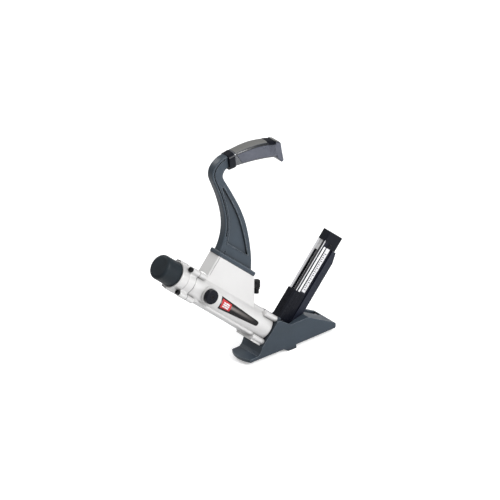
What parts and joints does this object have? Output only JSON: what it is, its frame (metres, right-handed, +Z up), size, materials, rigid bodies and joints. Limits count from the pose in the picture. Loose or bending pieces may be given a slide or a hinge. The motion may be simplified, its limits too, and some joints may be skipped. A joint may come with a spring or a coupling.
{
  "type": "flooring nailer",
  "caption": "Mallet-struck pneumatic flooring nailer: a slanted barrel on a cast foot, an arched handle and a slanted fastener magazine.",
  "frame": {"origin": "where the driver's axis meets the plane of the foot's underside, on the symmetry plane", "axes": "+X towards the front of the foot, +Z up from the foot's underside, +Y to the tool's left; the driver strikes along +X and -Z at 45 degrees"},
  "size_m": [0.5012, 0.0875, 0.5256],
  "materials": {
    "silver_casting": "silver powder coat, satin, fine orange peel",
    "dark_casting": "dark slate powder coat, satin",
    "black_plastic": "moulded black plastic, satin",
    "strike_plastic": "tough black plastic, matt, mallet scuffs",
    "grip_rubber": "soft over-moulded grip, satin",
    "grip_plastic": "moulded grey plastic, satin",
    "seal_rubber": "nitrile rubber",
    "gasket": "fibre gasket",
    "steel": "ground tool steel",
    "spring_steel": "oiled spring wire",
    "black_steel": "black oxide screw",
    "aluminium": "turned aluminium",
    "magazine_paint": "blue-black anodised, satin",
    "cover_paint": "blue-grey anodised, satin",
    "label_black": "printed film, gloss",
    "badge_red": "printed film, gloss",
    "label_white": "printed film, satin",
    "sintered_bronze": "sintered porous bronze"
  },
  "bodies": {
    "frame": {"barrel_housing": "silver_casting", "end_cap": "silver_casting", "end_cap_gasket": "gasket", "end_cap_screws": "black_steel", "strike_spring": "spring_steel", "cylinder_sleeve": "aluminium", "sleeve_rings": "seal_rubber", "bumper": "seal_rubber", "valve_guide": "aluminium", "valve_spring": "spring_steel", "exhaust_cover": "black_plastic", "exhaust_filter": "sintered_bronze", "exhaust_screw": "black_steel", "body_label": "label_black", "badge": "badge_red", "nose_back_plate": "steel", "nose_front_plate": "steel", "magazine_cheeks": "steel", "cheek_screws": "black_steel", "magazine_channel": "magazine_paint", "magazine_front_cover": "cover_paint", "magazine_rails": "steel", "magazine_end_cap": "black_plastic", "cap_screws": "black_steel", "magazine_label": "label_white", "spring_anchor": "steel", "spring_rod": "steel", "pusher_spring": "spring_steel", "handle_gasket": "gasket", "handle_screws": "black_steel", "foot": "dark_casting", "foot_screws": "black_steel", "foot_bolt": "steel", "handle_arm": "dark_casting", "grip_ring": "black_plastic", "grip_collar": "grip_plastic", "grip_sleeve": "grip_rubber", "grip_hook": "grip_rubber", "grip_screw": "black_steel", "inlet_bushing": "steel"},
    "striker": {"strike_cap": "strike_plastic", "ram": "steel", "ram_clip": "spring_steel"},
    "valve": {"head_valve": "black_plastic", "head_valve_seal": "seal_rubber"},
    "driver": {"piston": "aluminium", "piston_ring": "seal_rubber", "driver_blade": "steel", "blade_pin": "steel"},
    "pusher": {"pusher_carriage": "black_plastic", "feed_shoe": "steel"},
    "inlet": {"inlet_elbow": "black_steel", "air_plug": "black_steel"}
  },
  "joints": [
    {"name": "strike_slide", "type": "slide", "parent": "frame", "child": "striker", "axis": [0.7071, 0, -0.7071], "range_m": [0, 0.012], "deforming": ["strike_spring"]},
    {"name": "valve_lift", "type": "slide", "parent": "frame", "child": "valve", "axis": [-0.7071, 0, 0.7071], "range_m": [0, 0.006], "deforming": ["valve_spring"]},
    {"name": "piston_slide", "type": "slide", "parent": "frame", "child": "driver", "axis": [0.7071, 0, -0.7071], "range_m": [0, 0.07]},
    {"name": "pusher_slide", "type": "slide", "parent": "frame", "child": "pusher", "axis": [0.7071, 0, 0.7071], "range_m": [0, 0.1165], "deforming": ["pusher_spring"]},
    {"name": "inlet_swivel", "type": "hinge", "parent": "frame", "child": "inlet", "pos_m": [-0.07555, 0, 0.16733], "axis": [0.9925, 0, -0.1221], "range_deg": [-50, 50]}
  ],
  "couplings": [
    {"joint": "valve_lift", "follows": "strike_slide", "ratio": 0.5}
  ]
}
